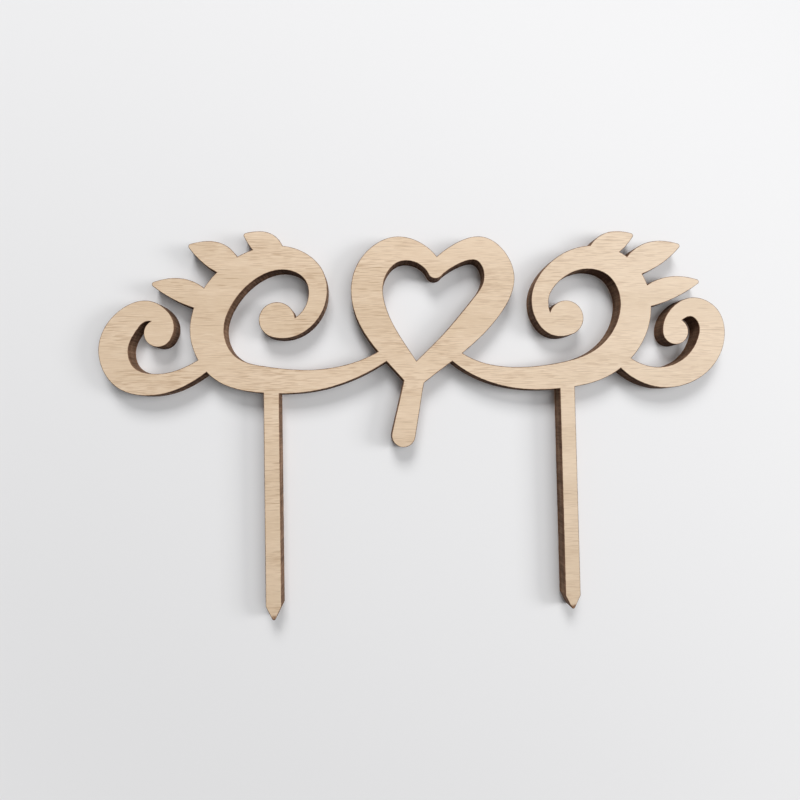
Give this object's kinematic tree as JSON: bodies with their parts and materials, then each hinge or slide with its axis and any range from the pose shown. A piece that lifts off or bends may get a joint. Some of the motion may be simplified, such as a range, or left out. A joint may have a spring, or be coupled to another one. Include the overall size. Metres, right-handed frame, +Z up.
{
  "type": "cake topper",
  "caption": "Flat wooden cake topper: a heart between leafy scrolls, laser-cut from three-ply sheet, with long pointed stakes that push into the cake.",
  "frame": {"origin": "on the cake's surface, half way between the stakes and half way through the sheet's thickness", "axes": "+X to the right along the sheet seen from the front, +Y through the sheet to its back, +Z up out of the cake"},
  "size_m": [0.1501, 0.004, 0.0912],
  "materials": {
    "face_veneer": "bare sanded beech-like veneer with fine dark flecks, charred dark brown on the cut edge",
    "core_veneer": "only its laser-charred cut edge shows, matt dark brown",
    "glue_line": "hard resin glue line, burnt nearly black on the cut edge"
  },
  "bodies": {
    "root": {"front_veneer": "face_veneer", "front_glue_line": "glue_line", "core_veneer": "core_veneer", "back_glue_line": "glue_line", "back_veneer": "face_veneer"}
  },
  "joints": []
}
